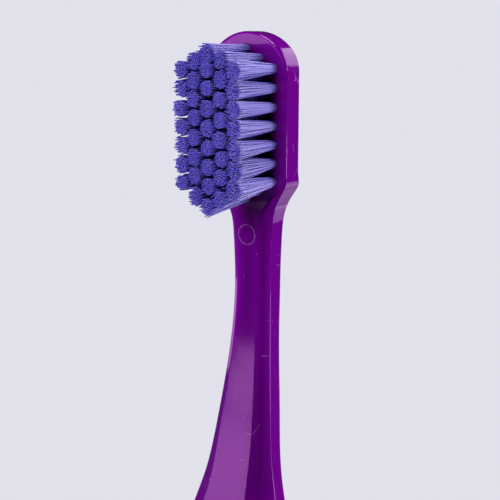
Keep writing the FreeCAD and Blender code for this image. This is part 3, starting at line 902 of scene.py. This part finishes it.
def tube_mesh(name, paths, light, radius, sides, rng):
    """Mesh of closed tubes along paths that all have the same number of points."""
    count, rings, _ = paths.shape
    along = np.gradient(paths, axis=1)
    along /= np.linalg.norm(along, axis=2, keepdims=True)
    aside = np.array((1.0, 0.0, 0.0)) - along * along[..., :1]
    aside /= np.linalg.norm(aside, axis=2, keepdims=True)
    third = np.cross(along, aside)
    start = rng.uniform(0, 2 * math.pi, (count, 1, 1, 1))
    angles = start + np.arange(sides).reshape(1, 1, sides, 1) * 2 * math.pi / sides
    ring = aside[:, :, None] * np.cos(angles) + third[:, :, None] * np.sin(angles)
    points = paths[:, :, None] + ring * radius
    base = np.arange(count)[:, None, None] * rings * sides
    step = base + np.arange(rings - 1)[None, :, None] * sides
    here = np.arange(sides)[None, None, :]
    after = (here + 1) % sides
    quads = np.stack(
        (step + here, step + after, step + sides + after, step + sides + here), axis=-1
    ).reshape(-1, 4)
    first = (base[:, 0] + np.arange(sides)[::-1]).tolist()
    final = (base[:, 0] + (rings - 1) * sides + np.arange(sides)).tolist()
    mesh = bpy.data.meshes.new(name)
    faces = quads.tolist() + first + final
    mesh.from_pydata((points.reshape(-1, 3) * MM).tolist(), [], faces)
    smooth = [True] * len(quads) + [False] * (2 * count)
    mesh.polygons.foreach_set("use_smooth", smooth)
    mesh.polygons.foreach_set("material_index", [0] * len(quads) + [1] * (2 * count))
    # Painted light and shade of each point, for the filament colour ramp
    values = np.repeat(light.reshape(-1), sides).astype(np.float32)
    mesh.attributes.new("light", "FLOAT", "POINT").data.foreach_set("value", values)
    return mesh


def make_tuft(column, row, materials):
    """One tuft of folded filaments in its hole."""
    seed = FIRST_SEED + COLUMN_SEEDS * list(TUFT_COUNTS).index(column) + row
    rng = np.random.default_rng(seed)
    x, z = column_x(column), tuft_z(column, row)
    border = inside_field(x, z) < TUFT_PITCH
    paths = filament_paths(rng, STRAY_REACH if border else INNER_REACH)
    lean_share = np.clip((HEAD_Y - paths[..., 1]) / (HEAD_Y - TIP_Y), 0, 1)
    paths[..., 0] -= SIDE_LEAN * lean_share
    tuft = f"{column}{row + 1}"
    stretch = TIP_STRETCH.get(tuft, TIP_STRETCH.get(column, 1.0))
    paths[..., 2] *= 1 + (stretch - 1) * lean_share
    paths[..., 2] += TIP_LEANS.get(tuft, 0.0) * lean_share
    paths += np.array((x, 0.0, z))
    name = f"filaments_{tuft}"
    light = painted_light_shares(paths, PAINTED_END_LIGHT[column], rng)
    mesh = tube_mesh(name, paths, light, FILAMENT_RADIUS, FILAMENT_SIDES, rng)
    for material in materials:
        mesh.materials.append(material)
    return add_object(name, mesh, [f"tuft_{tuft}"])


def node(tree, kind, values=None, **settings):
    """Add a shader node, with its settings and the values of its sockets."""
    made = tree.nodes.new(kind)
    for key, value in settings.items():
        setattr(made, key, value)
    for key, value in (values or {}).items():
        made.inputs[key].default_value = value
    return made


def new_material(name, values):
    """Material with one principled shader. Returns material, tree and shader."""
    material = bpy.data.materials.new(name)
    material.use_nodes = True
    tree = material.node_tree
    shader = tree.nodes["Principled BSDF"]
    for key, value in values.items():
        shader.inputs[key].default_value = value
    return material, tree, shader


def noise(tree, coordinates, scale, detail=2.0):
    """Noise over the object, with its scale in features per metre."""
    made = node(tree, "ShaderNodeTexNoise", {"Scale": scale, "Detail": detail})
    tree.links.new(coordinates, made.inputs["Vector"])
    return made.outputs["Fac"]


def ramp(tree, factor, stops):
    """Colour ramp over a factor: place and colour of each stop."""
    made = tree.nodes.new("ShaderNodeValToRGB")
    elements = made.color_ramp.elements
    while len(elements) < len(stops):
        elements.new(0.5)
    for element, (place, colour) in zip(elements, stops):
        element.position = place
        element.color = (*colour, 1.0)
    tree.links.new(factor, made.inputs["Fac"])
    return made.outputs["Color"]


def remap(tree, factor, low, high):
    """The factor from 0 to 1 spread over another range."""
    made = node(tree, "ShaderNodeMapRange", {"To Min": low, "To Max": high})
    tree.links.new(factor, made.inputs["Value"])
    return made.outputs["Result"]


def compare(tree, factor, operation, limit):
    """Math node that compares or combines the factor with a number."""
    made = node(tree, "ShaderNodeMath", {1: limit}, operation=operation)
    tree.links.new(factor, made.inputs[0])
    return made.outputs[0]


def combine(tree, operation, first, second):
    """Math node over two factors."""
    made = node(tree, "ShaderNodeMath", operation=operation)
    tree.links.new(first, made.inputs[0])
    tree.links.new(second, made.inputs[1])
    return made.outputs[0]


def mix(tree, factor, first, second):
    """Mix of two shaders by a factor."""
    made = tree.nodes.new("ShaderNodeMixShader")
    for number, output in enumerate((factor, first, second)):
        tree.links.new(output, made.inputs[number])
    return made.outputs[0]


def dust(tree, place):
    """Mask of a few fine hairs and specks on the surface."""
    line = compare(tree, noise(tree, place, HAIR_SCALE, 0.0), "SUBTRACT", HAIR_LEVEL)
    thin = compare(tree, compare(tree, line, "ABSOLUTE", 0.0), "LESS_THAN", HAIR_WIDTH)
    few = compare(tree, noise(tree, place, PLACES_SCALE, 1.0), "GREATER_THAN", PLACES_LEVEL)
    hairs = combine(tree, "MULTIPLY", thin, few)
    cells = node(tree, "ShaderNodeTexVoronoi", {"Scale": SPECK_SCALE})
    tree.links.new(place, cells.inputs["Vector"])
    specks = compare(tree, cells.outputs["Distance"], "LESS_THAN", SPECK_RADIUS)
    return combine(tree, "MAXIMUM", hairs, specks)


def purple_plastic(name, stops, grain, roughness):
    """Deep purple moulded plastic, with painted shade between the roots of the tufts and painted
    light and shade along its edges.
    """
    material, tree, shader = new_material(name, PLASTIC_FINISH)
    place = node(tree, "ShaderNodeTexCoord").outputs["Object"]
    colour = ramp(tree, noise(tree, place, grain), stops)
    # The 'light' attribute holds painted light and shade, which scales the base colour
    light = node(tree, "ShaderNodeAttribute", attribute_name="light")
    shaded = node(tree, "ShaderNodeVectorMath", operation="SCALE")
    tree.links.new(colour, shaded.inputs[0])
    tree.links.new(light.outputs["Fac"], shaded.inputs["Scale"])
    dusty = node(tree, "ShaderNodeMix", {MIX_SECOND: DUST_COLOUR}, data_type="RGBA")
    tree.links.new(dust(tree, place), dusty.inputs[MIX_FACTOR])
    tree.links.new(shaded.outputs["Vector"], dusty.inputs[MIX_FIRST])
    tree.links.new(dusty.outputs[MIX_RESULT], shader.inputs["Base Color"])
    haze = remap(tree, noise(tree, place, HAZE_SCALE, HAZE_DETAIL), *roughness)
    tree.links.new(haze, shader.inputs["Roughness"])
    bump = node(tree, "ShaderNodeBump", BUMP)
    tree.links.new(noise(tree, place, BUMP_SCALE, BUMP_DETAIL), bump.inputs["Height"])
    tree.links.new(bump.outputs["Normal"], shader.inputs["Normal"])
    return material


def filament_material(name, stops, finish):
    """Nylon filament, with its colour over its share of painted light and shade."""
    material, tree, shader = new_material(name, finish)
    light = node(tree, "ShaderNodeAttribute", attribute_name="light")
    colour = ramp(tree, light.outputs["Fac"], stops)
    tree.links.new(colour, shader.inputs["Base Color"])
    return material


def brass():
    """Dull drawn brass of the anchor plates."""
    material, tree, shader = new_material("anchor_brass", {"Metallic": 1.0})
    place = node(tree, "ShaderNodeTexCoord").outputs["Object"]
    grain = noise(tree, place, BRASS_SCALE, BRASS_DETAIL)
    tree.links.new(ramp(tree, grain, BRASS_COLOURS), shader.inputs["Base Color"])
    tree.links.new(remap(tree, grain, *BRASS_ROUGHNESS), shader.inputs["Roughness"])
    return material


def direction(azimuth, elevation):
    """Unit vector towards an azimuth and elevation in degrees, azimuth 0 being -Y."""
    a, e = math.radians(azimuth), math.radians(elevation)
    return Vector((math.sin(a) * math.cos(e), -math.cos(a) * math.cos(e), math.sin(e)))


def softbox(name, aim, azimuth, elevation, distance, width, height, radiance, roll):
    """Rectangular lamp that faces its aim, with the brightness of its face."""
    data = bpy.data.lights.new(name, "AREA")
    data.shape = "RECTANGLE"
    data.size, data.size_y = width * MM, height * MM
    data.energy = radiance * math.pi * data.size * data.size_y
    data.color = LAMP_TINTS.get(name, WHITE)
    lamp = bpy.data.objects.new(name, data)
    way = direction(azimuth, elevation)
    lamp.location = Vector(aim) * MM + way * distance * MM
    lamp.rotation_mode = "QUATERNION"
    turn = Quaternion((0, 0, 1), math.radians(roll))
    lamp.rotation_quaternion = (-way).to_track_quat("-Z", "Y") @ turn
    lamp.visible_camera = False
    bpy.context.scene.collection.objects.link(lamp)


def plain(tree, kind, colour, strength=1.0):
    """Background or emission of one colour."""
    return node(tree, kind, {"Color": (*colour, 1.0), "Strength": strength}).outputs[0]


def make_world():
    """Pale background, even fill light and a dim room in the gloss."""
    world = bpy.data.worlds.new("studio")
    world.use_nodes = True
    tree = world.node_tree
    tree.nodes.clear()
    path = node(tree, "ShaderNodeLightPath").outputs
    fill = plain(tree, "ShaderNodeBackground", FILL_COLOUR, FILL_STRENGTH)
    dim = plain(tree, "ShaderNodeBackground", BACKGROUND, GLOSS_STRENGTH)
    pale = plain(tree, "ShaderNodeBackground", BACKGROUND)
    seen = combine(tree, "MAXIMUM", path["Is Camera Ray"], path["Is Transmission Ray"])
    lit = mix(tree, path["Is Glossy Ray"], fill, dim)
    output = node(tree, "ShaderNodeOutputWorld")
    tree.links.new(mix(tree, seen, lit, pale), output.inputs["Surface"])
    bpy.context.scene.world = world


def floor_material():
    """Floor that keeps the shadow near the brush and fades into the background."""
    material = bpy.data.materials.new("floor")
    material.use_nodes = True
    tree = material.node_tree
    tree.nodes.clear()
    place = node(tree, "ShaderNodeTexCoord").outputs["Object"]
    length = node(tree, "ShaderNodeVectorMath", operation="LENGTH")
    tree.links.new(place, length.inputs[0])
    reach = {"From Min": FLOOR_NEAR * MM, "From Max": FLOOR_FAR * MM}
    fade = node(tree, "ShaderNodeMapRange", reach)
    tree.links.new(length.outputs["Value"], fade.inputs["Value"])
    diffuse = node(tree, "ShaderNodeBsdfDiffuse", {"Color": (*FLOOR_COLOUR, 1.0)}).outputs[0]
    pale = plain(tree, "ShaderNodeEmission", BACKGROUND)
    dim = plain(tree, "ShaderNodeEmission", BACKGROUND, GLOSS_STRENGTH)
    glossy = node(tree, "ShaderNodeLightPath").outputs["Is Glossy Ray"]
    near = mix(tree, fade.outputs["Result"], diffuse, pale)
    output = node(tree, "ShaderNodeOutputMaterial")
    tree.links.new(mix(tree, glossy, near, dim), output.inputs["Surface"])
    return material


def make_floor():
    """Round floor under the brush."""
    rim = []
    for i in range(FLOOR_SIDES):
        angle = 2 * math.pi * i / FLOOR_SIDES
        radius = FLOOR_RADIUS * MM
        rim.append((radius * math.cos(angle), radius * math.sin(angle), 0.0))
    mesh = bpy.data.meshes.new("floor")
    mesh.from_pydata(rim, [], [tuple(range(FLOOR_SIDES))])
    mesh.materials.append(floor_material())
    floor = bpy.data.objects.new("floor", mesh)
    bpy.context.scene.collection.objects.link(floor)


def make_camera():
    """Camera in front of the brush, to its right and a little above."""
    data = bpy.data.cameras.new("camera")
    data.sensor_width = CAMERA_SENSOR
    data.lens = CAMERA_LENS
    data.clip_start, data.clip_end = CAMERA_CLIP
    camera = bpy.data.objects.new("camera", data)
    back = direction(CAMERA_AZIMUTH, CAMERA_ELEVATION)
    camera.location = CAMERA_TARGET + back * CAMERA_DISTANCE
    camera.rotation_mode = "QUATERNION"
    camera.rotation_quaternion = (-back).to_track_quat("-Z", "Y")
    camera.rotation_mode = "XYZ"
    camera.rotation_euler.rotate_axis("Z", math.radians(CAMERA_ROLL))
    bpy.context.scene.collection.objects.link(camera)
    bpy.context.scene.camera = camera


def dress_anchors():
    """Brass on the anchor plates."""
    metal = brass()
    for column in TUFT_COUNTS:
        anchors = bpy.data.objects[f"anchors_{column}"]
        anchors.data.materials.clear()
        anchors.data.materials.append(metal)


def main():
    """Build the brush with its materials, and the stage round it."""
    handle = make_handle()
    handle.data.materials.append(purple_plastic("purple_plastic", BODY_COLOURS, BODY_GRAIN, GLOSS))
    handle.data.materials.append(purple_plastic("purple_mark", MARK_COLOURS, MARK_GRAIN, DULL))
    filament = filament_material("filament_side", SIDE_COLOURS, SIDE_FINISH)
    cut = filament_material("filament_end", END_COLOURS, END_FINISH)
    for column, row in all_tufts():
        make_tuft(column, row, (filament, cut))
    dress_anchors()
    make_floor()
    make_world()
    for lamp in LAMPS:
        softbox(*lamp)
    make_camera()
    bpy.context.scene.view_settings.view_transform = "Standard"
    bpy.context.view_layer.update()


main()
